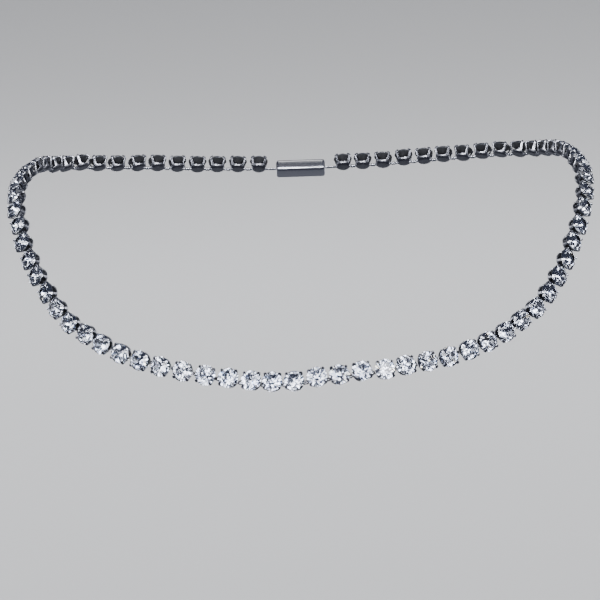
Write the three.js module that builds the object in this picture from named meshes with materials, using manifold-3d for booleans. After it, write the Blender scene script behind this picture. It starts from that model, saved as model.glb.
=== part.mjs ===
import * as THREE from "three";
import { mergeVertices } from "three/addons/utils/BufferGeometryUtils.js";
import Module from "manifold-3d";

// A choker of round cut stones in claw cups, in millimetres and degrees.
// +Z is up, the middle front stones look along -Y, and +X is right seen from the front.
// The origin is the middle of the space that the neck fills.

// The loop as worn, measured through the middle of the stones' girdles
const loopWidth = 120;
const loopDepth = 84;
const loopRise = 38.5;
const lowFaceTilt = 7; // how far the stones look up where the loop is low
const highFaceTilt = 62; // and where it is highest
const tiltGrowth = 1.8; // how late that comes in on the way up
const frontFaceTilt = 25; // how much more the front stones look up, as they lie on the chest
const frontReach = 22; // from the middle of the front to where that has faded

// Round cut stone
const stoneDiameter = 4.1;
const tableDiameter = 2.2;
const crownHeight = 0.78;
const pavilionDepth = 1.75;
const stoneFoot = 0.16; // from the stone's axis to a corner of the small foot below it
const tableSides = 8;

// Claw cup
const clawCount = 4;
const clawTurn = 45; // from the chain's direction to the first claw
const dishCorner = 1.42; // from the cup's middle to the inside of a claw's foot
const dishFootCorner = 1.62; // from the cup's middle to the outside of a claw's foot
const dishThickness = 0.46;
const clawWidth = 0.58;
const clawTipWidth = 0.46;
const clawThickness = 0.3;
const clawTipThickness = 0.28;
const clawTipSlant = 0.12; // how far the tip's end leans back
const clawLap = 0.5; // how far a claw's tip reaches over the crown
const clawGap = 0.04; // between a claw and the stone

// Links, and the chain they make
const chainPitch = 4.6; // from the middle of one stone to the next
const linkWidth = 0.7;
const linkThickness = 0.32;
const linkSeat = 0.5; // from a cup's middle to the end of a link fixed in it
const clearance = 0.3;
const notchFloor = 0.55; // from a cup's middle to the floor of the front cup's notch

// Clasp at the back of the neck
const claspLength = 11;
const claspWidth = 4;
const claspThickness = 2.6;
const claspCorner = 0.8;
const claspEndRounding = 0.35;
const pocketDepth = 1.6;
const tongueEntry = 1.1; // how far a chain's end reaches into the clasp
const claspRoom = 3.1; // least space from the last stone's middle to the clasp

// The right half of the loop from the front to the back of the neck, as shares of its
// half width, depth and rise
const halfRoute = [
  { across: 0, back: 0, up: 0 },
  { across: 0.29, back: 0.03, up: 0.02 },
  { across: 0.56, back: 0.105, up: 0.09 },
  { across: 0.79, back: 0.21, up: 0.26 },
  { across: 0.93, back: 0.33, up: 0.55 },
  { across: 1, back: 0.475, up: 0.86 },
  { across: 0.97, back: 0.66, up: 1 },
  { across: 0.85, back: 0.865, up: 0.99 },
  { across: 0.6, back: 0.965, up: 0.96 },
  { across: 0.31, back: 1, up: 0.93 },
  { across: 0, back: 1, up: 0.92 },
];

const degree = Math.PI / 180;
const worldUp = new THREE.Vector3(0, 0, 1);
const curveSteps = 4000;
const weldDistance = 1e-4;

// Sizes that follow from those above
const stoneRadius = stoneDiameter / 2;
const tableRadius = tableDiameter / 2;
const dishTop = -pavilionDepth;
const dishBottom = dishTop - dishThickness;
const linkLevel = dishTop - dishThickness / 2;
const lowest = -loopRise / 2;

const wasm = await Module();
wasm.setup();

// Closed geometry to solid, and back

function solidOf(geometry) {
  const bare = geometry.clone();
  bare.deleteAttribute("normal");
  bare.deleteAttribute("uv");
  const welded = mergeVertices(bare, weldDistance);
  return new wasm.Manifold(
    new wasm.Mesh({
      numProp: 3,
      vertProperties: welded.attributes.position.array,
      triVerts: new Uint32Array(welded.index.array),
    }),
  );
}

function geometryOf(solid) {
  const mesh = solid.getMesh();
  const geometry = new THREE.BufferGeometry();
  geometry.setAttribute("position", new THREE.BufferAttribute(mesh.vertProperties, 3));
  geometry.setIndex(new THREE.BufferAttribute(mesh.triVerts, 1));
  const flat = geometry.toNonIndexed();
  flat.computeVertexNormals();
  return flat;
}

function joined(geometries) {
  return geometries.map(solidOf).reduce((whole, piece) => whole.add(piece));
}

// The loop's route

function routePoint(row, side) {
  return new THREE.Vector3(
    (side * row.across * loopWidth) / 2,
    (row.back - 0.5) * loopDepth,
    row.up * loopRise + lowest,
  );
}

function loopCurve() {
  const right = halfRoute.map((row) => routePoint(row, 1));
  const left = halfRoute.slice(1, -1).map((row) => routePoint(row, -1));
  const curve = new THREE.CatmullRomCurve3([...right, ...left.reverse()], true, "centripetal");
  curve.arcLengthDivisions = curveSteps;
  return curve;
}

const loop = loopCurve();
const loopLength = loop.getLength();

function faceTilt(middle) {
  const climbed = Math.min(Math.max((middle.z - lowest) / loopRise, 0), 1);
  const onChest = middle.y < 0 ? Math.exp(-((middle.x / frontReach) ** 4)) : 0;
  return lowFaceTilt + (highFaceTilt - lowFaceTilt) * climbed ** tiltGrowth + frontFaceTilt * onChest;
}

// The place of a stone at a distance along the loop from the front, to the right:
// X along the chain, Y across it and Z out through the stone's table.
function placeAt(distance) {
  const share = (distance / loopLength + 1) % 1;
  const along = loop.getTangentAt(share);
  const middle = loop.getPointAt(share);
  const outward = along.clone().cross(worldUp).normalize();
  const upward = outward.clone().cross(along);
  const tilt = degree * faceTilt(middle);
  const facing = outward.multiplyScalar(Math.cos(tilt)).addScaledVector(upward, Math.sin(tilt));
  const across = facing.clone().cross(along);
  return new THREE.Matrix4().makeBasis(along, across, facing).setPosition(middle);
}

// One stone in its cup: a closed surface of flat facets, in the stone's own place

function ring(count, radius, height, turn) {
  const step = (2 * Math.PI) / count;
  return Array.from({ length: count }, (_, k) => [
    radius * Math.cos(turn + k * step),
    radius * Math.sin(turn + k * step),
    height,
  ]);
}

class Facets {
  points = [];
  corners = [];

  place(points) {
    return points.map((point) => this.points.push(point) - 1);
  }

  face(...ends) {
    for (let k = 1; k < ends.length - 1; k += 1) this.corners.push(ends[0], ends[k], ends[k + 1]);
  }

  geometry() {
    const geometry = new THREE.BufferGeometry();
    geometry.setAttribute("position", new THREE.Float32BufferAttribute(this.points.flat(), 3));
    geometry.setIndex(this.corners);
    return geometry;
  }
}

// Table, star and kite facets above the girdle. Below it each girdle side has a facet
// down to the nearest corner of the small foot that the stone stands on.
function addStone(facets, foot) {
  const girdleSides = 2 * tableSides;
  const table = facets.place(ring(tableSides, tableRadius, crownHeight, Math.PI / tableSides));
  const girdle = facets.place(ring(girdleSides, stoneRadius, 0, 0));
  facets.face(...table);
  table.forEach((corner, k) => {
    const [below, beside, after] = [0, 1, 2].map((step) => girdle[(2 * k + step) % girdleSides]);
    facets.face(corner, below, beside, after);
    facets.face(corner, after, table[(k + 1) % tableSides]);
  });
  const sidesPerFoot = girdleSides / foot.length;
  foot.forEach((corner, k) => {
    for (let j = k * sidesPerFoot; j < (k + 1) * sidesPerFoot; j += 1) {
      facets.face(girdle[j], corner, girdle[(j + 1) % girdleSides]);
    }
    const turned = girdle[((k + 1) * sidesPerFoot) % girdleSides];
    facets.face(turned, corner, foot[(k + 1) % foot.length]);
  });
}

// The corners of a claw at one height, in order round it: inside, outside, outside, inside
function clawSection(turn, inner, outer, width) {
  const [cos, sin] = [Math.cos(turn), Math.sin(turn)];
  const corner = ([reach, height], aside) => [
    reach * cos - aside * sin,
    reach * sin + aside * cos,
    height,
  ];
  const half = width / 2;
  return [corner(inner, -half), corner(outer, -half), corner(outer, half), corner(inner, half)];
}

// A claw rises from the dish's corner, passes the girdle and bends in over the crown.
// Each section gives its inside and its outside as a reach from the middle and a height.
function addClaw(facets, turn) {
  const crownSlope = crownHeight / (stoneRadius - tableRadius);
  const tipReach = stoneRadius - clawLap;
  const tipHeight = clawLap * crownSlope + clawGap;
  const sections = [
    clawSection(turn, [dishCorner, dishTop], [dishFootCorner, dishBottom], clawWidth),
    clawSection(
      turn,
      [stoneRadius + clawGap, 0],
      [stoneRadius + clawGap + clawThickness, clawThickness / 4],
      clawWidth,
    ),
    clawSection(
      turn,
      [tipReach, tipHeight],
      [tipReach + clawTipSlant, tipHeight + clawTipThickness],
      clawTipWidth,
    ),
  ].map((section) => facets.place(section));
  sections.slice(1).forEach((upper, k) => {
    const lower = sections[k];
    lower.forEach((corner, j) => {
      const next = (j + 1) % lower.length;
      facets.face(corner, lower[next], upper[next], upper[j]);
    });
  });
  facets.face(...sections.at(-1));
  return sections[0];
}

// The dish joins the claws' feet. Its top meets the foot of the stone.
function addDish(facets, feet, foot) {
  const underside = feet.flatMap(([, before, after]) => [before, after]);
  facets.face(...underside.reverse());
  feet.forEach(([, , outsideAfter, insideAfter], k) => {
    const next = (k + 1) % feet.length;
    const [insideBefore, outsideBefore] = feet[next];
    facets.face(outsideAfter, outsideBefore, insideBefore, insideAfter);
    facets.face(insideAfter, insideBefore, foot[next], foot[k]);
    facets.face(feet[k][0], insideAfter, foot[k]);
  });
}

function settingGeometry() {
  const facets = new Facets();
  const firstTurn = clawTurn * degree;
  const foot = facets.place(ring(clawCount, stoneFoot, dishTop, firstTurn));
  const turns = foot.map((_, k) => firstTurn + (k * 2 * Math.PI) / clawCount);
  const feet = turns.map((turn) => addClaw(facets, turn));
  addStone(facets, foot);
  addDish(facets, feet, foot);
  return facets.geometry();
}

const setting = settingGeometry();

// Links between cups

function pointAt(place, x) {
  return new THREE.Vector3(x, 0, linkLevel).applyMatrix4(place);
}

// A flat bar from one point to another, lying as flat as the place beside it
function barGeometry(from, to, place, width, thickness) {
  const along = to.clone().sub(from);
  const length = along.length();
  along.normalize();
  const facing = new THREE.Vector3().setFromMatrixColumn(place, 2);
  const across = facing.cross(along).normalize();
  const flat = along.clone().cross(across);
  const geometry = new THREE.BoxGeometry(length, width, thickness);
  geometry.translate(length / 2, 0, 0);
  geometry.applyMatrix4(new THREE.Matrix4().makeBasis(along, across, flat).setPosition(from));
  return geometry;
}

function linkGeometry(place, nextPlace) {
  const from = pointAt(place, linkSeat);
  const to = pointAt(nextPlace, -linkSeat);
  return barGeometry(from, to, place, linkWidth, linkThickness);
}

// The chain's halves run from the middle of the front to the clasp
const halfLength = loopLength / 2;
const stonesLength = halfLength - claspLength / 2 - claspRoom;
const stonesPerSide = Math.floor(stonesLength / chainPitch + 0.5);

function sidePlaces(side) {
  return Array.from({ length: stonesPerSide }, (_, k) => placeAt(side * (k + 0.5) * chainPitch));
}

const claspPlace = placeAt(halfLength);

// The flat tongue from the last cup into the clasp. The loop runs along -X at the back,
// so the right half's end enters the clasp from its -X side in the clasp's own frame.
function tongueGeometry(lastPlace, side) {
  const from = pointAt(lastPlace, side * linkSeat);
  const to = pointAt(claspPlace, -side * (claspLength / 2 - tongueEntry));
  return barGeometry(from, to, lastPlace, linkWidth, linkThickness);
}

function halfChain(side) {
  const places = sidePlaces(side);
  const stones = places.map((place) => setting.clone().applyMatrix4(place));
  const links = places
    .slice(1)
    .map((place, k) => (side > 0 ? linkGeometry(places[k], place) : linkGeometry(place, places[k])));
  return joined([...stones, ...links, tongueGeometry(places.at(-1), side)]);
}

// The front link is fixed in the right half and lies free in a notch of the left half
function frontLinkGeometry() {
  const rightPlace = placeAt(chainPitch / 2);
  const leftPlace = placeAt(-chainPitch / 2);
  const from = pointAt(rightPlace, -linkSeat);
  const to = pointAt(leftPlace, notchFloor + clearance);
  return barGeometry(from, to, rightPlace, linkWidth, linkThickness);
}

function notchGeometry() {
  const height = dishThickness + clearance;
  const geometry = new THREE.BoxGeometry(stoneRadius, linkWidth + 2 * clearance, height);
  geometry.translate(notchFloor + stoneRadius / 2, 0, dishBottom + dishThickness / 2 - clearance / 2);
  geometry.applyMatrix4(placeAt(-chainPitch / 2));
  return geometry;
}

// Clasp: a smooth plain box with a pocket in each end

function roundedOutline(width, height, corner) {
  const x = width / 2;
  const y = height / 2;
  const outline = new THREE.Shape();
  outline.moveTo(-x + corner, -y);
  outline.absarc(x - corner, -y + corner, corner, -Math.PI / 2, 0, false);
  outline.absarc(x - corner, y - corner, corner, 0, Math.PI / 2, false);
  outline.absarc(-x + corner, y - corner, corner, Math.PI / 2, Math.PI, false);
  outline.absarc(-x + corner, -y + corner, corner, Math.PI, 1.5 * Math.PI, false);
  return outline;
}

function claspGeometry() {
  const section = roundedOutline(
    claspWidth - 2 * claspEndRounding,
    claspThickness - 2 * claspEndRounding,
    claspCorner - claspEndRounding,
  );
  const body = new THREE.ExtrudeGeometry(section, {
    depth: claspLength - 2 * claspEndRounding,
    curveSegments: 3,
    bevelSize: claspEndRounding,
    bevelThickness: claspEndRounding,
    bevelSegments: 1,
  });
  body.translate(0, 0, claspEndRounding - claspLength / 2);
  body.rotateX(Math.PI / 2);
  body.rotateZ(Math.PI / 2);
  let solid = solidOf(body);
  for (const end of [-1, 1]) {
    const pocket = new THREE.BoxGeometry(
      2 * pocketDepth,
      linkWidth + 2 * clearance,
      linkThickness + 2 * clearance,
    );
    pocket.translate((end * claspLength) / 2, 0, 0);
    solid = solid.subtract(solidOf(pocket));
  }
  return geometryOf(solid);
}

// Finishes and the finished part

const crystalFinish = new THREE.MeshStandardMaterial({
  color: 0xe3e8f2,
  roughness: 0.08,
  metalness: 0.45,
});
const silverFinish = new THREE.MeshStandardMaterial({
  color: 0xc9cbd0,
  roughness: 0.16,
  metalness: 1,
});

function namedMesh(name, geometry, material) {
  const mesh = new THREE.Mesh(geometry, material);
  mesh.name = name;
  return mesh;
}

const chainRight = halfChain(1).add(solidOf(frontLinkGeometry()));
const chainLeft = halfChain(-1).subtract(solidOf(notchGeometry()));
const clasp = namedMesh("clasp", claspGeometry(), silverFinish);
const claspMiddle = new THREE.Matrix4().makeTranslation(0, 0, linkLevel);
clasp.applyMatrix4(claspPlace.clone().multiply(claspMiddle));

const choker = new THREE.Group();
choker.name = "choker_necklace";
choker.add(namedMesh("stone_chain_right", geometryOf(chainRight), crystalFinish));
choker.add(namedMesh("stone_chain_left", geometryOf(chainLeft), crystalFinish));
choker.add(clasp);

export default choker;
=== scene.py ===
import math
import random

import bmesh
import bpy
from mathutils import Matrix, Vector


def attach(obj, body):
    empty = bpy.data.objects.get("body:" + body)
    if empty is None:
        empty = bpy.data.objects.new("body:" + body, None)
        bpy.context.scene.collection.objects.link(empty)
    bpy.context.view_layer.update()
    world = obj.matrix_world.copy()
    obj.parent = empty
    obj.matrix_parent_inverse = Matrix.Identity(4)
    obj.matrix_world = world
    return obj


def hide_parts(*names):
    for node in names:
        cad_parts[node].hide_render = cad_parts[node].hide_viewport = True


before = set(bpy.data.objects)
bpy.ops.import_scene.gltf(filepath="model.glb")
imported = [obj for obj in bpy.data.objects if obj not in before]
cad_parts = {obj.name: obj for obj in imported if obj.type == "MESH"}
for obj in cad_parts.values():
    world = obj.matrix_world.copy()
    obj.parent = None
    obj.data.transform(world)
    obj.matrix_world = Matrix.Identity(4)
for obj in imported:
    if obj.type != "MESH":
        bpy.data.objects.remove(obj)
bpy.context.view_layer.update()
mm = 0.001
print("frame loaded")

# The loop as worn, through the middle of the stones' girdles. The rows are shares of half the
# width, of the depth and of the rise, from the front round the right side to the back.
loopRoute = {
    "width": 120 * mm,
    "depth": 84 * mm,
    "rise": 38.5 * mm,
    "lowFaceTilt": math.radians(7),
    "highFaceTilt": math.radians(62),
    "tiltGrowth": 1.8,  # above 1, most of the tilt comes late in the climb
    "frontFaceTilt": math.radians(25),  # what the front stones have besides
    "frontReach": 22 * mm,
    "frontSteepness": 4,  # how sharply that tilt ends at its reach
    "halfRows": [
        (0, 0, 0),
        (0.29, 0.03, 0.02),
        (0.56, 0.105, 0.09),
        (0.79, 0.21, 0.26),
        (0.93, 0.33, 0.55),
        (1, 0.475, 0.86),
        (0.97, 0.66, 1),
        (0.85, 0.865, 0.99),
        (0.6, 0.965, 0.96),
        (0.31, 1, 0.93),
        (0, 1, 0.92),
    ],
    "stepsPerRow": 48,
    "dip": 0.55 * mm,  # how low the row lies left of its middle, and how high right of it
    "dipMiddle": 1.2 * mm,
    "dipReach": 10 * mm,
}

chain = {
    "pitch": 4.6 * mm,  # from one stone to the next
    "stonesPerSide": 37,
    "linkLevel": -1.98 * mm,  # from the girdles towards the cups' floors
    "crowding": 0.95 * mm,  # how far the stones at the crowd's middle have slid to the right
    "crowdMiddle": -15 * mm,
    "crowdReach": 8.5 * mm,
    "slide": 0.12 * mm,  # how far a cup can shift in its links at random
    "lean": math.radians(3.5),  # how far a cup can lean in its links at random
    "seed": 11,
}

viewpoint = {
    "elevation": math.radians(8),
    "yaw": math.radians(-0.6),
    "roll": math.radians(1.9),
    "distance": 548 * mm,
    "aside": 0.43 * mm,
    "below": 9.6 * mm,
    "focalPixels": 2600,
    "pictureWidth": 600,
    "sensorWidth": 36,
}


def aimCamera(settings):
    turnBack = Matrix.Rotation(-settings["yaw"], 3, "Z")
    rise, roll = settings["elevation"], settings["roll"]
    level, upright = Vector((1, 0, 0)), Vector((0, math.sin(rise), math.cos(rise)))
    forward = turnBack @ Vector((0, math.cos(rise), -math.sin(rise)))
    right = turnBack @ (math.cos(roll) * level - math.sin(roll) * upright)
    up = turnBack @ (math.sin(roll) * level + math.cos(roll) * upright)
    place = -settings["distance"] * forward - settings["aside"] * right - settings["below"] * up
    data = bpy.data.cameras.new("camera")
    data.sensor_width = settings["sensorWidth"]
    data.lens = settings["focalPixels"] * settings["sensorWidth"] / settings["pictureWidth"]
    camera = bpy.data.objects.new("camera", data)
    camera.matrix_world = Matrix.Translation(place) @ basis(right, up, -forward)
    bpy.context.scene.collection.objects.link(camera)
    bpy.context.scene.camera = camera


def basis(x, y, z):
    return Matrix((x, y, z)).transposed().to_4x4()


aimCamera(viewpoint)
print("camera placed")


# Node trees: one value or field as a wire, on which sums are written as Python sums


class Wire:
    def __init__(self, sheet, socket):
        self.sheet = sheet
        self.socket = socket

    def of(self, output):  # another output of the same node
        return Wire(self.sheet, pickSocket(self.socket.node.outputs, output))

    def sum(self, operation, first, second):
        return self.sheet.add("ShaderNodeMath", {"operation": operation}, {0: first, 1: second})

    def __add__(self, other):
        return self.sum("ADD", self, other)

    def __radd__(self, other):
        return self.sum("ADD", other, self)

    def __sub__(self, other):
        return self.sum("SUBTRACT", self, other)

    def __rsub__(self, other):
        return self.sum("SUBTRACT", other, self)

    def __mul__(self, other):
        return self.sum("MULTIPLY", self, other)

    def __rmul__(self, other):
        return self.sum("MULTIPLY", other, self)

    def __truediv__(self, other):
        return self.sum("DIVIDE", self, other)

    def __rtruediv__(self, other):
        return self.sum("DIVIDE", other, self)

    def __pow__(self, other):
        return self.sum("POWER", self, other)

    def __rpow__(self, other):
        return self.sum("POWER", other, self)


def pickSocket(sockets, name):
    shown = [socket for socket in sockets if socket.enabled]
    return shown[name] if isinstance(name, int) else next(s for s in shown if s.name == name)


class Sheet:
    def __init__(self, tree):
        self.tree = tree

    def add(self, kind, settings=None, sockets=None, output=0):
        node = self.tree.nodes.new(kind)
        for name, value in (settings or {}).items():
            if name == "stops":
                self.setStops(node.color_ramp, value)
            else:
                setattr(node, name, value)
        for name, value in (sockets or {}).items():
            socket = pickSocket(node.inputs, name)
            if isinstance(value, Wire):
                self.tree.links.new(value.socket, socket)
            else:
                socket.default_value = value
        return Wire(self, pickSocket(node.outputs, output)) if node.outputs else None

    def setStops(self, ramp, stops):
        for place, _ in stops[2:]:  # a new ramp has two stops
            ramp.elements.new(place)
        for element, (place, colour) in zip(ramp.elements, stops):
            element.position = place
            element.color = colour

    def mixColours(self, factor, first, second):
        sockets = {"Factor": factor, "A": first, "B": second}
        return self.add("ShaderNodeMix", {"data_type": "RGBA"}, sockets)


# Finishes

stoneFinish = {
    "ior": 1.57,
    "clearTint": (0.985, 0.99, 1, 1),
    "coolTint": (0.93, 0.955, 1, 1),
    "polish": 0.004,
    "smear": 0.03,
    "smearScale": 900,
    "smearContrast": 3,  # above 1, the smears stand apart on clean facets
}

foilFinish = {
    "silver": (0.93, 0.94, 0.96, 1),
    # shade is a painted shade: dark facets that stand for the dark room mirrored in the foil
    "shade": (0.5, 0.53, 0.62, 1),
    # painted flashes of coloured fire, standing for light split by the glass
    "paintedBlueFlash": (0.6, 0.76, 1, 1),
    "paintedGoldFlash": (1, 0.9, 0.68, 1),
    # each facet has a tone from 0 to 1, and these are the colours along the tones: mostly the
    # foil's silver, with painted shade on the darker facets and painted flashes of blue and gold
    # fire on a few
    "toneStops": [
        (0, "shade"),
        (0.3, "silver"),
        (0.95, "silver"),
        (0.97, "paintedBlueFlash"),
        (0.985, "silver"),
        (0.995, "paintedGoldFlash"),
    ],
    "toneShift": 7.3,  # how far a stone's own shade moves its facets along the tones
    "roughness": 0.05,
    "speckle": 0.05,
    "speckleScale": 2500,
    "groundAndShade": (0.1, 0.105, 0.12, 1),  # the rough ground girdle, painted dark as the shade of the cup seen through it
    "groundRoughness": 0.5,
}

paintFinish = {  # the paint that keeps the foil
    "dark": (0.03, 0.031, 0.038, 1),
    "light": (0.075, 0.077, 0.085, 1),
    "polish": 0.3,
    "unevenness": 0.25,
    "mottleScale": 1800,
}

platingFinish = {
    # bright is the clean plating, set darker than real rhodium as painted shade for the dark room
    # it mirrors
    "bright": (0.58, 0.585, 0.61, 1),
    # dull is the colour of the tarnish and painted shade in the crevices
    "dull": (0.14, 0.14, 0.15, 1),
    "evenTarnishAndShade": 0.35,
    "patchyTarnishAndShade": 0.65,
    "polish": 0.2,
    "wear": 0.16,
    "cleanWear": 0.5,  # the share of the wear that shows where there is neither tarnish nor painted shade
    "wearScale": 1500,
    "scratchScale": 5200,
    "scratchDetail": 5,
    "dents": 0.5,  # how deep the worn patches are beside the scratches
    "bumpStrength": 0.6,
    "bumpHeight": 0.006 * mm,
}


def startMaterial(name):
    material = bpy.data.materials.new(name)
    material.use_nodes = True
    material.node_tree.nodes.clear()
    return material, Sheet(material.node_tree)


def finishMaterial(material, sheet, sockets):
    shader = sheet.add("ShaderNodeBsdfPrincipled", {}, sockets)
    sheet.add("ShaderNodeOutputMaterial", {}, {"Surface": shader})
    return material


def attribute(sheet, name):
    return sheet.add("ShaderNodeAttribute", {"attribute_name": name}, output="Fac")


def objectNoise(sheet, scale, detail=3):
    place = sheet.add("ShaderNodeTexCoord", output="Object")
    sockets = {"Vector": place, "Scale": scale, "Detail": detail}
    return sheet.add("ShaderNodeTexNoise", {}, sockets, "Fac")


def makeCrystal(settings):
    material, sheet = startMaterial("clear_crystal")
    shade = attribute(sheet, "stoneShade")
    smear = objectNoise(sheet, settings["smearScale"]) ** settings["smearContrast"]
    sockets = {
        "Base Color": sheet.mixColours(shade, settings["clearTint"], settings["coolTint"]),
        "Roughness": settings["polish"] + settings["smear"] * smear,
        "IOR": settings["ior"],
        "Transmission Weight": 1,
    }
    return finishMaterial(material, sheet, sockets)


def makeFoil(settings):
    material, sheet = startMaterial("silver_foil")
    tone = attribute(sheet, "facetTone") + attribute(sheet, "stoneShade") * settings["toneShift"]
    tone = sheet.add("ShaderNodeMath", {"operation": "FRACT"}, {0: tone})
    stops = [(place, settings[colour]) for place, colour in settings["toneStops"]]
    # the foil's silver, with painted shade on some facets and painted flashes of fire on a few
    silverWithPaintedShadeAndFire = sheet.add("ShaderNodeValToRGB", {"stops": stops}, {"Fac": tone})
    # the ground girdle's colour is painted shade, the dark cup seen through it; its roughness is
    # the real grinding
    groundAndShade = attribute(sheet, "groundAndShade")
    speckle = settings["speckle"] * objectNoise(sheet, settings["speckleScale"])
    sockets = {
        "Base Color": sheet.mixColours(groundAndShade, silverWithPaintedShadeAndFire, settings["groundAndShade"]),
        "Metallic": 1 - groundAndShade,
        "Roughness": settings["roughness"] + speckle + settings["groundRoughness"] * groundAndShade,
    }
    return finishMaterial(material, sheet, sockets)


def makeBackPaint(settings):
    material, sheet = startMaterial("back_paint")
    mottle = objectNoise(sheet, settings["mottleScale"])
    sockets = {
        "Base Color": sheet.mixColours(mottle, settings["dark"], settings["light"]),
        "Roughness": settings["polish"] + settings["unevenness"] * mottle,
    }
    return finishMaterial(material, sheet, sockets)


def makePlating(settings):
    material, sheet = startMaterial("silver_plating")
    wear = objectNoise(sheet, settings["wearScale"])
    # the plating darkens towards the cups' floors and other crevices: partly patchy tarnish,
    # partly painted shade
    crevice = 1 - attribute(sheet, "rise")
    patches = settings["evenTarnishAndShade"] + settings["patchyTarnishAndShade"] * wear
    tarnishAndShade = (crevice * crevice) * patches
    scratches = objectNoise(sheet, settings["scratchScale"], settings["scratchDetail"])
    bump = sheet.add(
        "ShaderNodeBump",
        {},
        {
            "Strength": settings["bumpStrength"],
            "Distance": settings["bumpHeight"],
            "Height": scratches + settings["dents"] * wear,
        },
    )
    roughness = settings["polish"] + settings["wear"] * wear * (settings["cleanWear"] + tarnishAndShade)
    sockets = {
        "Base Color": sheet.mixColours(tarnishAndShade, settings["bright"], settings["dull"]),
        "Metallic": 1,
        "Roughness": roughness,
        "Normal": bump,
    }
    return finishMaterial(material, sheet, sockets)


crystal = makeCrystal(stoneFinish)
foil = makeFoil(foilFinish)
backPaint = makeBackPaint(paintFinish)
plating = makePlating(platingFinish)
print("finishes made")


# The loop's route


def routeKnots(settings):
    def knot(row, side):
        across, back, up = row
        return Vector(
            (
                side * across * settings["width"] / 2,
                (back - 0.5) * settings["depth"],
                (up - 0.5) * settings["rise"],
            )
        )

    rows = settings["halfRows"]
    return [knot(row, 1) for row in rows] + [knot(row, -1) for row in reversed(rows[1:-1])]


def smoothPoint(before, start, end, after, share):
    # centripetal spline between start and end
    first, middle, last = (
        math.sqrt((b - a).length) for a, b in ((before, start), (start, end), (end, after))
    )
    leave = (start - before) / first - (end - before) / (first + middle) + (end - start) / middle
    arrive = (end - start) / middle - (after - start) / (middle + last) + (after - end) / last
    leave, arrive = leave * middle, arrive * middle
    cubic = 2 * start - 2 * end + leave + arrive
    square = 3 * end - 3 * start - 2 * leave - arrive
    return start + leave * share + square * share**2 + cubic * share**3


def routePoints(settings):
    knots = routeKnots(settings)
    count, steps = len(knots), settings["stepsPerRow"]
    return [
        smoothPoint(*(knots[(k + step) % count] for step in (-1, 0, 1, 2)), j / steps)
        for k in range(count)
        for j in range(steps)
    ]


def facingAt(along, point, settings):
    # the way a stone looks: outwards, and more upwards at the front and where the loop is high
    outward = along.cross(Vector((0, 0, 1))).normalized()
    climbed = min(max(point.z / settings["rise"] + 0.5, 0), 1)
    low, high = settings["lowFaceTilt"], settings["highFaceTilt"]
    tilt = low + (high - low) * climbed ** settings["tiltGrowth"]
    if point.y < 0:
        aside = abs(point.x) / settings["frontReach"]
        tilt += settings["frontFaceTilt"] * math.exp(-(aside ** settings["frontSteepness"]))
    return math.cos(tilt) * outward + math.sin(tilt) * outward.cross(along)


def letDip(points, settings):
    # the front falls and rises a little, as a chain does where it lies loose
    for point in points:
        if point.y < 0:
            share = (point.x - settings["dipMiddle"]) / settings["dipReach"]
            point.z += settings["dip"] * share * math.exp((1 - share**2) / 2)
    return points


path = letDip(routePoints(loopRoute), loopRoute)
pathAlong = [(path[(k + 1) % len(path)] - path[k - 1]).normalized() for k in range(len(path))]
pathFacing = [facingAt(along, point, loopRoute) for along, point in zip(pathAlong, path)]
pathLength = sum((path[k] - path[k - 1]).length for k in range(len(path)))


def placeAt(distance):
    # X along the chain, Y across it, Z out through the stone's table
    left = distance % pathLength
    for k, point in enumerate(path):
        step = (path[(k + 1) % len(path)] - point).length
        if left < step:
            break
        left -= step
    after = (k + 1) % len(path)
    share = left / step
    along = pathAlong[k].lerp(pathAlong[after], share).normalized()
    facing = pathFacing[k].lerp(pathFacing[after], share).normalized()
    across = facing.cross(along).normalized()
    middle = point.lerp(path[after], share)
    return Matrix.Translation(middle) @ basis(across.cross(facing), across, facing)


def makePath():
    mesh = bpy.data.meshes.new("loop_path")
    count = len(path)
    mesh.from_pydata(path, [(k, (k + 1) % count) for k in range(count)], [])
    facing = mesh.attributes.new("facing", "FLOAT_VECTOR", "POINT")
    facing.data.foreach_set("vector", [value for row in pathFacing for value in row])
    return mesh


# Shapes that are strung along the loop


def makeObject(name, mesh):
    piece = bpy.data.objects.new(name, mesh)
    bpy.context.scene.collection.objects.link(piece)
    return piece


def meshOf(shape, name):
    bmesh.ops.recalc_face_normals(shape, faces=shape.faces)
    mesh = bpy.data.meshes.new(name)
    shape.to_mesh(mesh)
    shape.free()
    return mesh


def polar(reach, turn, height):
    return Vector((reach * math.cos(turn), reach * math.sin(turn), height))


def ringOf(count, reach, height, turn=0):
    return [polar(reach, turn + 2 * math.pi * k / count, height) for k in range(count)]


stone = {
    "diameter": 4.1 * mm,
    "tableDiameter": 2.2 * mm,
    "crownHeight": 0.78 * mm,
    "pavilionDepth": 1.75 * mm,
    "girdleBand": 0.07 * mm,
    "mains": 8,
    "starReach": 1.5 * mm,  # from the axis to the tips of the star facets
    "lowerReach": 0.62 * mm,  # from the axis to the inner ends of the lower facets
    "paintGap": 0.02 * mm,
    "paintThickness": 0.03 * mm,
    "toneSeed": 4,
}


def stoneRings(settings):
    # the corners' rings, from the table down to the point of the back
    mains = settings["mains"]
    half = math.pi / mains
    radius, table = settings["diameter"] / 2, settings["tableDiameter"] / 2
    band, top = settings["girdleBand"] / 2, settings["crownHeight"]
    depth = settings["pavilionDepth"]
    crownSlope = (top - band) / (radius - table)
    starHeight = top - (settings["starReach"] * math.cos(half) - table) * crownSlope
    backSlope = (depth - band) / radius
    lowerHeight = settings["lowerReach"] * math.cos(half) * backSlope - depth
    return [
        ringOf(mains, table, top, half),
        ringOf(mains, settings["starReach"], starHeight),
        ringOf(2 * mains, radius, band),
        ringOf(2 * mains, radius, -band),
        ringOf(mains, settings["lowerReach"], lowerHeight),
        [Vector((0, 0, -depth))],
    ]


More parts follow.
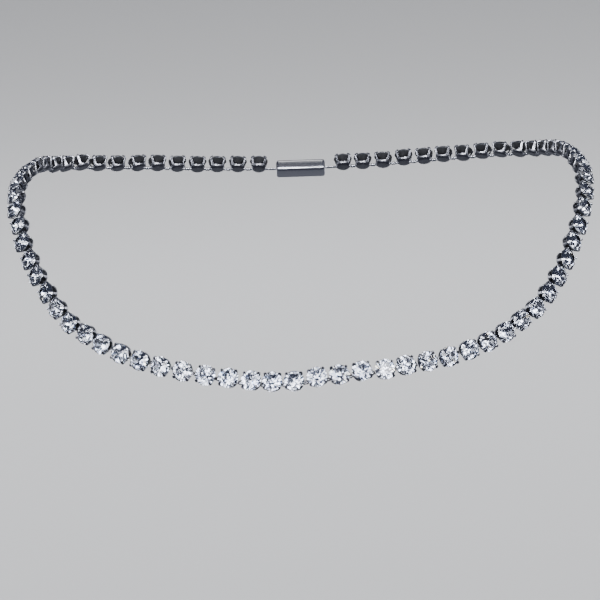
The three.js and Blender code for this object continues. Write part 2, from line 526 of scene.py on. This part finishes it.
def addPaint(points, back, rim, settings):
    # the paint on the foil, a thin closed shell just below it, made of two copies of the back
    first, copied = rim[0], len(points) - rim[0]
    for drop in (settings["paintGap"], settings["paintGap"] + settings["paintThickness"]):
        points.extend([point - Vector((0, 0, drop)) for point in points[first : first + copied]])
    sheets = [[corner + step * copied for corner in face] for face in back for step in (1, 2)]
    edges = [
        [corner + copied, after + copied, after + 2 * copied, corner + 2 * copied]
        for corner, after in zip(rim, [*rim[1:], rim[0]])
    ]
    return sheets + edges


def makeStone(settings):
    mains, around = settings["mains"], 2 * settings["mains"]
    points, starts = [], []
    for ring in stoneRings(settings):
        starts.append(len(points))
        points.extend(ring)
    tableRow, starRow, upperRow, lowerRow, innerRow, culet = starts
    crown = [[tableRow + k for k in range(mains)]]
    back = []
    for k in range(mains):
        corner, previous = tableRow + k, tableRow + (k - 1) % mains
        star, nextStar = starRow + k, starRow + (k + 1) % mains
        before, low, tip = (upperRow + (2 * k + step) % around for step in (-1, 0, 1))
        crown += [
            [corner, previous, star],
            [corner, star, tip, nextStar],
            [star, low, tip],
            [star, before, low],
        ]
        inner, nextInner = innerRow + k, innerRow + (k + 1) % mains
        low, tip, high = (lowerRow + (2 * k + step) % around for step in (0, 1, 2))
        back += [[inner, tip, low], [nextInner, high, tip], [culet, nextInner, tip, inner]]
    girdle = [
        [lowerRow + k, lowerRow + (k + 1) % around, upperRow + (k + 1) % around, upperRow + k]
        for k in range(around)
    ]
    paint = addPaint(points, back, range(lowerRow, lowerRow + around), settings)
    shape = bmesh.new()
    corners = [shape.verts.new(point) for point in points]
    for face in crown + girdle + back + paint:
        shape.faces.new([corners[k] for k in face])
    mesh = meshOf(shape, "stone_shape")
    draws = random.Random(settings["toneSeed"])
    storeOnFaces(mesh, "facetTone", [draws.random() for _ in mesh.polygons])
    # which faces have foil behind them, are ground and are painted
    marks = [(crown, 0, 0, 0), (girdle, 1, 1, 0), (back, 1, 0, 0), (paint, 0, 0, 1)]
    for column, name in enumerate(("foiled", "groundAndShade", "painted"), 1):
        storeOnFaces(mesh, name, [mark[column] for mark in marks for _ in mark[0]])
    return makeObject("stone_shape", mesh)


def storeOnFaces(mesh, name, values):
    mesh.attributes.new(name, "FLOAT", "FACE").data.foreach_set("value", values)


cup = {
    "claws": 4,
    "stripPoints": (-1, -0.78, -0.4, 0, 0.4, 0.78, 1),  # across a claw and its part of the dish
    "weldReach": 0.001 * mm,
    "sheet": 0.27 * mm,
    "edge": 0.05 * mm,
    "edgeAngle": math.radians(50),  # the least angle that is rounded
    # reach and height of the dish's rings, from the middle up to the notches' floors
    "dishRows": [
        (0.5 * mm, -2.05 * mm),
        (1.02 * mm, -2.05 * mm),
        (1.32 * mm, -1.99 * mm),
        (1.49 * mm, -1.83 * mm),
        (1.57 * mm, -1.6 * mm),
    ],
    # reach, height and half width of a claw, from the notches' floors to its tip
    "clawRows": [
        (1.6 * mm, -1.53 * mm, 0.62 * mm),
        (1.62 * mm, -1.45 * mm, 0.4 * mm),
        (1.66 * mm, -1.3 * mm, 0.29 * mm),
        (1.74 * mm, -1.05 * mm, 0.25 * mm),
        (1.85 * mm, -0.75 * mm, 0.24 * mm),
        (1.99 * mm, -0.4 * mm, 0.235 * mm),
        (2.15 * mm, -0.08 * mm, 0.23 * mm),
        (2.22 * mm, 0.1 * mm, 0.23 * mm),
        (2.18 * mm, 0.25 * mm, 0.225 * mm),
        (2.04 * mm, 0.37 * mm, 0.22 * mm),
        (1.84 * mm, 0.5 * mm, 0.21 * mm),
        (1.62 * mm, 0.65 * mm, 0.18 * mm),
        (1.54 * mm, 0.71 * mm, 0.1 * mm),
    ],
}


def makeCup(settings):
    claws, strip = settings["claws"], settings["stripPoints"]
    quarter = 2 * math.pi / claws
    turns = [quarter * (k + 0.5) for k in range(claws)]
    shape = bmesh.new()

    def row(turn, reach, height, spread):
        return [shape.verts.new(polar(reach, turn + spread * s, height)) for s in strip]

    def join(lower, upper):
        for k in range(len(lower) - 1):
            shape.faces.new((lower[k], lower[k + 1], upper[k + 1], upper[k]))

    middle = shape.verts.new((0, 0, settings["dishRows"][0][1]))
    for turn in turns:
        rows = [row(turn, reach, height, quarter / 2) for reach, height in settings["dishRows"]]
        rows += [row(turn, r, height, half / r) for r, height, half in settings["clawRows"]]
        for lower, upper in zip(rows, rows[1:]):
            join(lower, upper)
        for k in range(len(strip) - 1):
            shape.faces.new((middle, rows[0][k], rows[0][k + 1]))
    bmesh.ops.remove_doubles(shape, verts=shape.verts, dist=settings["weldReach"])
    piece = makeObject("cup_shape", meshOf(shape, "cup_shape"))
    wall = piece.modifiers.new("wall", "SOLIDIFY")
    wall.thickness = settings["sheet"]
    wall.offset = 0
    edge = piece.modifiers.new("edge", "BEVEL")
    edge.width = settings["edge"]
    edge.segments = 1
    edge.limit_method = "ANGLE"
    edge.angle_limit = settings["edgeAngle"]
    finished = applied(piece, "cup_shape")
    low = settings["dishRows"][0][1]
    high = settings["clawRows"][-1][1]
    storeRise(finished.data, lambda point: (point.z - low) / (high - low))
    return finished


def applied(piece, name):
    # the piece as a plain mesh, with its modifiers done and gone
    bpy.context.view_layer.update()
    evaluated = piece.evaluated_get(bpy.context.evaluated_depsgraph_get())
    mesh = bpy.data.meshes.new_from_object(evaluated)
    bpy.data.objects.remove(piece)
    mesh.name = name
    return makeObject(name, mesh)


def storeRise(mesh, rise):
    # how far from the crevices a point is, from 0 to 1; the plating is painted darker, as tarnish
    # and painted shade, the lower this is
    values = [min(max(rise(vertex.co), 0), 1) for vertex in mesh.vertices]
    mesh.attributes.new("rise", "FLOAT", "POINT").data.foreach_set("value", values)
    mesh.polygons.foreach_set("use_smooth", [True] * len(mesh.polygons))


link = {
    "sides": 8,
    "roundness": 0.7,  # 1 gives oval sections, and less gives flatter ones
    "rise": 0.75,  # how clear of tarnish and painted shade it is
    # distance from the link's middle, half width and half thickness
    "rows": [
        (-1.25 * mm, 0.2 * mm, 0.1 * mm),
        (-1.2 * mm, 0.3 * mm, 0.15 * mm),
        (-0.72 * mm, 0.32 * mm, 0.15 * mm),
        (-0.5 * mm, 0.3 * mm, 0.16 * mm),
        (-0.38 * mm, 0.42 * mm, 0.28 * mm),
        (-0.2 * mm, 0.46 * mm, 0.33 * mm),
        (-0.05 * mm, 0.36 * mm, 0.25 * mm),
        (0.05 * mm, 0.36 * mm, 0.25 * mm),
        (0.2 * mm, 0.46 * mm, 0.33 * mm),
        (0.38 * mm, 0.42 * mm, 0.28 * mm),
        (0.5 * mm, 0.3 * mm, 0.16 * mm),
        (0.72 * mm, 0.32 * mm, 0.15 * mm),
        (1.2 * mm, 0.3 * mm, 0.15 * mm),
        (1.25 * mm, 0.2 * mm, 0.1 * mm),
    ],
}


def makeBar(name, rows, place):
    # a bar along X with flattened round sections, then set in its place
    sides = link["sides"]
    shape = bmesh.new()
    rings = []
    for x, halfWidth, halfThickness in rows:
        ring = []
        for k in range(sides):
            turn = 2 * math.pi * (k + 0.5) / sides
            aside = flattened(math.cos(turn)) * halfWidth
            height = flattened(math.sin(turn)) * halfThickness
            ring.append(shape.verts.new(place @ Vector((x, aside, height))))
        rings.append(ring)
    for lower, upper in zip(rings, rings[1:]):
        for k in range(sides):
            after = (k + 1) % sides
            shape.faces.new((lower[k], lower[after], upper[after], upper[k]))
    shape.faces.new(rings[0])
    shape.faces.new(rings[-1])
    return meshOf(shape, name)


def flattened(share):
    return math.copysign(abs(share) ** link["roundness"], share)


def makeLink(settings):
    mesh = makeBar("link_shape", settings["rows"], Matrix.Identity(4))
    storeRise(mesh, lambda point: settings["rise"])
    return makeObject("link_shape", mesh)


stoneShape = makeStone(stone)
cupShape = makeCup(cup)
linkShape = makeLink(link)
print("stone, cup and link shaped, with", len(cupShape.data.polygons), "faces in a cup")


# Stringing: a tree that sets copies of a shape along the loop


def makeStringing():
    tree = bpy.data.node_groups.new("strung_along", "GeometryNodeTree")
    sheet = Sheet(tree)
    sockets = [
        ("Path", "NodeSocketGeometry"),
        ("Shape", "NodeSocketObject"),
        ("Count", "NodeSocketInt"),
        ("Start", "NodeSocketFloat"),
        ("Spacing", "NodeSocketFloat"),
        ("Length", "NodeSocketFloat"),
        ("Crowding", "NodeSocketFloat"),
        ("Crowd Middle", "NodeSocketFloat"),
        ("Crowd Reach", "NodeSocketFloat"),
        ("Level", "NodeSocketFloat"),
        ("Slide", "NodeSocketFloat"),
        ("Lean", "NodeSocketFloat"),
        ("Spin", "NodeSocketFloat"),
        ("Seed", "NodeSocketInt"),
        ("Surface", "NodeSocketMaterial"),
        ("Back", "NodeSocketMaterial"),
        ("Paint", "NodeSocketMaterial"),
    ]
    for name, kind in sockets:
        tree.interface.new_socket(name, in_out="INPUT", socket_type=kind)
    tree.interface.new_socket("Chain", in_out="OUTPUT", socket_type="NodeSocketGeometry")
    given = sheet.add("NodeGroupInput")
    index = sheet.add("GeometryNodeInputIndex")
    distance = given.of("Start") + given.of("Spacing") * index
    # the crowding fades to both sides of its middle as a bell curve does
    share = (distance - given.of("Crowd Middle")) / given.of("Crowd Reach")
    fade = sheet.add("ShaderNodeMath", {"operation": "EXPONENT"}, {0: -0.5 * (share * share)})
    distance = distance + given.of("Crowding") * fade
    distance = sheet.add(
        "ShaderNodeMath", {"operation": "WRAP"}, {0: distance, 1: given.of("Length"), 2: 0.0}
    )
    curve = sheet.add("GeometryNodeMeshToCurve", {}, {"Mesh": given.of("Path")})
    facing = sheet.add(
        "GeometryNodeInputNamedAttribute", {"data_type": "FLOAT_VECTOR"}, {"Name": "facing"}
    )
    spot = sheet.add(
        "GeometryNodeSampleCurve",
        {"mode": "LENGTH", "data_type": "FLOAT_VECTOR", "use_all_curves": True},
        {"Curves": curve, "Value": facing, "Length": distance},
        "Position",
    )
    lift = sheet.add(
        "ShaderNodeVectorMath",
        {"operation": "SCALE"},
        {"Vector": spot.of("Value"), "Scale": given.of("Level")},
    )
    play = randomVector(sheet, given, index, "Slide")
    offset = sheet.add("ShaderNodeVectorMath", {"operation": "ADD"}, {0: lift, 1: play})
    place = sheet.add("ShaderNodeVectorMath", {"operation": "ADD"}, {0: spot, 1: offset})
    points = sheet.add("GeometryNodePoints", {}, {"Count": given.of("Count"), "Position": place})
    turned = sheet.add(
        "FunctionNodeAxesToRotation",
        {"primary_axis": "Z", "secondary_axis": "X"},
        {"Primary Axis": spot.of("Value"), "Secondary Axis": spot.of("Tangent")},
    )
    lean = sheet.add(
        "FunctionNodeEulerToRotation", {}, {0: randomVector(sheet, given, index, "Lean")}
    )
    angle = sheet.add(
        "FunctionNodeRandomValue",
        {"data_type": "FLOAT"},
        {"Max": given.of("Spin"), "ID": index, "Seed": given.of("Seed")},
    )
    spin = sheet.add("FunctionNodeAxisAngleToRotation", {}, {"Axis": (0, 0, 1), "Angle": angle})
    for turn in (lean, spin):
        turned = sheet.add(
            "FunctionNodeRotateRotation",
            {"rotation_space": "LOCAL"},
            {"Rotation": turned, "Rotate By": turn},
        )
    shape = sheet.add("GeometryNodeObjectInfo", {}, {"Object": given.of("Shape")}, "Geometry")
    copies = sheet.add(
        "GeometryNodeInstanceOnPoints",
        {},
        {"Points": points, "Instance": shape, "Rotation": turned},
    )
    shade = sheet.add(
        "FunctionNodeRandomValue", {"data_type": "FLOAT"}, {"ID": index, "Seed": given.of("Seed")}
    )
    copies = sheet.add(
        "GeometryNodeStoreNamedAttribute",
        {"data_type": "FLOAT", "domain": "INSTANCE"},
        {"Geometry": copies, "Name": "stoneShade", "Value": shade},
    )
    whole = sheet.add("GeometryNodeRealizeInstances", {}, {"Geometry": copies})
    whole = sheet.add(
        "GeometryNodeSetMaterial", {}, {"Geometry": whole, "Material": given.of("Surface")}
    )
    for mark, finish in (("foiled", "Back"), ("painted", "Paint")):
        marked = sheet.add(
            "GeometryNodeInputNamedAttribute", {"data_type": "FLOAT"}, {"Name": mark}
        )
        whole = sheet.add(
            "GeometryNodeSetMaterial",
            {},
            {"Geometry": whole, "Selection": marked, "Material": given.of(finish)},
        )
    sheet.add("NodeGroupOutput", {}, {"Chain": whole})
    return tree


def randomVector(sheet, given, index, size):
    # a random vector for each copy, no longer each way than the named input
    spread = given.of(size)
    least = sheet.add("ShaderNodeCombineXYZ", {}, {axis: -1 * spread for axis in "XYZ"})
    most = sheet.add("ShaderNodeCombineXYZ", {}, {axis: spread for axis in "XYZ"})
    return sheet.add(
        "FunctionNodeRandomValue",
        {"data_type": "FLOAT_VECTOR"},
        {"Min": least, "Max": most, "ID": index, "Seed": given.of("Seed")},
    )


stringing = makeStringing()


def string(name, values):
    piece = makeObject(name, makePath())
    modifier = piece.modifiers.new("stringing", "NODES")
    modifier.node_group = stringing
    for item in stringing.interface.items_tree:
        if item.in_out == "INPUT" and item.name in values:
            modifier[item.identifier] = values[item.name]
    return applied(piece, name)


def seat(piece, node):
    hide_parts(node)
    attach(piece, "root")


def stringSide(name, side):
    pitch, count = chain["pitch"], chain["stonesPerSide"]
    route = {
        "Length": pathLength,
        "Spacing": side * pitch,
        "Crowding": chain["crowding"],
        "Crowd Middle": chain["crowdMiddle"],
        "Crowd Reach": chain["crowdReach"],
    }
    seating = {  # a stone and its cup shift and lean as one
        **route,
        "Count": count,
        "Start": side * pitch / 2,
        "Slide": chain["slide"],
        "Lean": chain["lean"],
        "Seed": chain["seed"] + side,
    }
    glass = {"Shape": stoneShape, "Surface": crystal, "Back": foil, "Paint": backPaint}
    crystals = string("crystals_" + name, {**seating, **glass, "Spin": 2 * math.pi})
    metal = {"Shape": cupShape, "Surface": plating}
    cups = string("claw_cups_" + name, {**seating, **metal})
    first = 0 if side > 0 else 1  # the link in the middle of the front is on the right half
    between = {
        **route,
        "Shape": linkShape,
        "Count": count - first,
        "Start": first * side * pitch,
        "Level": chain["linkLevel"],
        "Surface": plating,
    }
    links = string("links_" + name, between)
    seat(crystals, "stone_chain_" + name)
    for piece in (cups, links):
        seat(piece, "stone_chain_" + name)
    print(name, "half strung:", len(cups.data.polygons), "faces in its cups")


for name, side in (("right", 1), ("left", -1)):
    stringSide(name, side)


# Clasp, and the tongues that reach into it

clasp = {
    "length": 11 * mm,
    "width": 4 * mm,
    "thickness": 2.6 * mm,
    "corner": 0.62 * mm,
    "cornerSteps": 4,
    "smoothBelow": math.radians(40),
    "rise": 0.9,  # how clear of tarnish and painted shade it is
    "endReach": 0.9,  # the share of half its length at which its ends start to darken
    "endDarkening": 5,  # how fast they darken from there
    "pocketDepth": 1.6 * mm,
    "pocketWidth": 1.3 * mm,
    "pocketHeight": 0.92 * mm,
    "tongueEntry": 1.1 * mm,
    "tongueRoot": 1.2 * mm,  # from the last cup's middle
    "tongueWidth": 0.7 * mm,
    "tongueThickness": 0.32 * mm,
    "tongueRounding": 0.08 * mm,
    "tongueRise": 0.7,
}

claspPlace = placeAt(pathLength / 2) @ Matrix.Translation((0, 0, chain["linkLevel"]))


def boxShape(size, place):
    shape = bmesh.new()
    bmesh.ops.create_cube(shape, size=1, matrix=place @ Matrix.Diagonal((*size, 1)))
    return shape


def makeClasp(settings):
    size = (settings["length"], settings["width"], settings["thickness"])
    shape = boxShape(size, Matrix.Identity(4))
    bmesh.ops.bevel(
        shape,
        geom=shape.edges[:],
        offset=settings["corner"],
        segments=settings["cornerSteps"],
        profile=0.5,
        affect="EDGES",
    )
    piece = makeObject("box_clasp", meshOf(shape, "box_clasp"))
    pocket = (2 * settings["pocketDepth"], settings["pocketWidth"], settings["pocketHeight"])
    cutters = []
    for end in (-1, 1):
        shape = boxShape(pocket, Matrix.Translation((end * settings["length"] / 2, 0, 0)))
        cutters.append(makeObject("pocket_cutter", meshOf(shape, "pocket_cutter")))
        cut = piece.modifiers.new("pocket", "BOOLEAN")
        cut.operation = "DIFFERENCE"
        cut.object = cutters[-1]
    finished = applied(piece, "box_clasp")
    for cutter in cutters:
        bpy.data.objects.remove(cutter)
    half = settings["length"] / 2

    def rise(point):
        intoEnd = max(abs(point.x) / half - settings["endReach"], 0)
        return settings["rise"] - settings["endDarkening"] * intoEnd

    storeRise(finished.data, rise)
    finished.data.transform(claspPlace)
    finished.data.set_sharp_from_angle(angle=settings["smoothBelow"])
    finished.data.materials.clear()
    finished.data.materials.append(plating)
    seat(finished, "clasp")


def makeTongue(name, side, settings):
    pitch, count = chain["pitch"], chain["stonesPerSide"]
    last = placeAt(side * (count - 0.5) * pitch)
    start = last @ Vector((side * settings["tongueRoot"], 0, chain["linkLevel"]))
    reach = settings["length"] / 2 - settings["tongueEntry"]
    end = claspPlace @ Vector((-side * reach, 0, 0))
    along = end - start
    facing = last.to_3x3() @ Vector((0, 0, 1))
    across = facing.cross(along).normalized()
    x = along.normalized()
    place = Matrix.Translation(start) @ basis(x, across, x.cross(across))
    width, thickness = settings["tongueWidth"] / 2, settings["tongueThickness"] / 2
    rounding = settings["tongueRounding"]
    rows = [
        (0, width - rounding, thickness - rounding),
        (rounding, width, thickness),
        (along.length - rounding, width, thickness),
        (along.length, width - rounding, thickness - rounding),
    ]
    mesh = makeBar("end_tongue_" + name, rows, place)
    storeRise(mesh, lambda point: settings["tongueRise"])
    mesh.materials.append(plating)
    seat(makeObject("end_tongue_" + name, mesh), "stone_chain_" + name)


makeClasp(clasp)
for name, side in (("right", 1), ("left", -1)):
    makeTongue(name, side, clasp)
for shape in (stoneShape, cupShape, linkShape):
    bpy.data.objects.remove(shape)
print("clasp and tongues made")


# Floor and light

studio = {
    "floorHeight": -95 * mm,
    "floorReach": 0.7,
    "wallReach": 2.7,
    "wallHeight": 0.55,
    "wallSteepening": 3,  # above 1, the wall starts gently
    "rings": 40,
    "sides": 96,
    "floorColour": (0.47, 0.475, 0.487, 1),
    "world": (0.045, 0.05, 0.075, 1),
    # where each light stands and points, its width and height in metres, and its watts
    "overhead": ((0, 0.1, 1.25), (0, 0, 0), (0.7, 0.6), 2.5),
    # large panels that light the floor, one to each side
    "floorLights": [
        ("floor_back", (0, 0.75, 1.15), (0, 1.35, -0.1), (1.5, 0.8), 30),
        ("floor_front", (0, -0.75, 1.15), (0, -1.5, -0.1), (1.5, 0.8), 17),
        ("floor_left", (-0.75, 0, 1.15), (-1.4, 0, -0.1), (0.8, 1.5), 13),
        ("floor_right", (0.75, 0, 1.15), (1.4, 0, -0.1), (0.8, 1.5), 13),
    ],
    "sparkleColour": (0.9, 0.92, 1),
    # panels that only polished surfaces show
    "sparkleLights": [
        ("front_middle", (-0.1, -1.35, 0.2), (0, 0, 0), (0.32, 0.28), 9),
        ("front_left", (-0.64, -1.2, 0.22), (0, 0, 0), (0.3, 0.4), 7),
        ("front_right", (0.54, -1.25, 0.22), (0, 0, 0), (0.3, 0.4), 7),
        ("front_low", (0, -1.35, -0.03), (0, 0, 0), (0.7, 0.06), 2.5),
        ("high_left", (-0.38, -1, 0.8), (0, 0, 0), (0.5, 0.24), 6),
        ("high_right", (0.46, -0.95, 0.75), (0, 0, 0), (0.45, 0.24), 6),
        ("side_left", (-1.15, -0.6, 0.42), (0, 0, 0), (0.8, 0.7), 1.5),
        ("side_right", (1.1, -0.65, 0.42), (0, 0, 0), (0.8, 0.7), 1.3),
        ("back_left", (-0.75, 1.1, 0.45), (0, 0, 0), (0.5, 0.35), 1.2),
        ("back_right", (0.75, 1.1, 0.4), (0, 0, 0), (0.5, 0.35), 1.2),
        ("inner_left", (-0.26, 0.3, -0.05), (0, 0, -0.05), (0.4, 0.08), 0.2),
        ("inner_right", (0.26, 0.3, -0.05), (0, 0, -0.05), (0.4, 0.08), 0.2),
        ("front_glow", (0.3, -1.7, 0.6), (0, 0, 0), (1.6, 1), 0.9),
        ("floor_glow", (0, 0.36, -0.09), (0, 0.36, 0), (1.4, 0.6), 0.4),
    ],
}


def makeFloor(settings):
    # a flat floor that turns up into a wall all round
    flat, level = settings["floorReach"], settings["floorHeight"]
    run, rings, sides = settings["wallReach"] - flat, settings["rings"], settings["sides"]
    shape = bmesh.new()
    circles = []
    for k in range(rings + 1):
        share = k / rings
        rise = settings["wallHeight"] * share ** settings["wallSteepening"]
        circle = ringOf(sides, flat + run * share, level + rise)
        circles.append([shape.verts.new(point) for point in circle])
    shape.faces.new(circles[0])
    for lower, upper in zip(circles, circles[1:]):
        for k in range(sides):
            after = (k + 1) % sides
            shape.faces.new((lower[k], upper[k], upper[after], lower[after]))
    mesh = bpy.data.meshes.new("floor")
    shape.to_mesh(mesh)
    shape.free()
    mesh.polygons.foreach_set("use_smooth", [True] * len(mesh.polygons))
    sockets = {"Base Color": settings["floorColour"], "Roughness": 1, "Specular IOR Level": 0}
    mesh.materials.append(finishMaterial(*startMaterial("pale_floor"), sockets))
    floor = makeObject("floor", mesh)
    floor.visible_glossy = False  # polished surfaces show the dark room and its panels
    floor.visible_transmission = False


def hangLight(name, place, aim, size, power, colour=(1, 1, 1)):
    data = bpy.data.lights.new(name, "AREA")
    data.color = colour
    data.shape = "RECTANGLE"
    data.size, data.size_y = size
    data.energy = power
    light = bpy.data.objects.new(name, data)
    place = Vector(place)
    turn = (Vector(aim) - place).to_track_quat("-Z", "Y").to_matrix().to_4x4()
    light.matrix_world = Matrix.Translation(place) @ turn
    light.visible_camera = False
    bpy.context.scene.collection.objects.link(light)
    return light


def hangLights(settings):
    hangLight("overhead", *settings["overhead"])
    for row in settings["floorLights"]:
        light = hangLight(*row)
        light.visible_glossy = False
        light.visible_transmission = False
    for row in settings["sparkleLights"]:
        light = hangLight(*row, settings["sparkleColour"])
        light.visible_diffuse = False
    world = bpy.data.worlds.new("studio")
    world.use_nodes = True
    world.node_tree.nodes["Background"].inputs["Color"].default_value = settings["world"]
    bpy.context.scene.world = world


makeFloor(studio)
hangLights(studio)
print("floor and lights set")
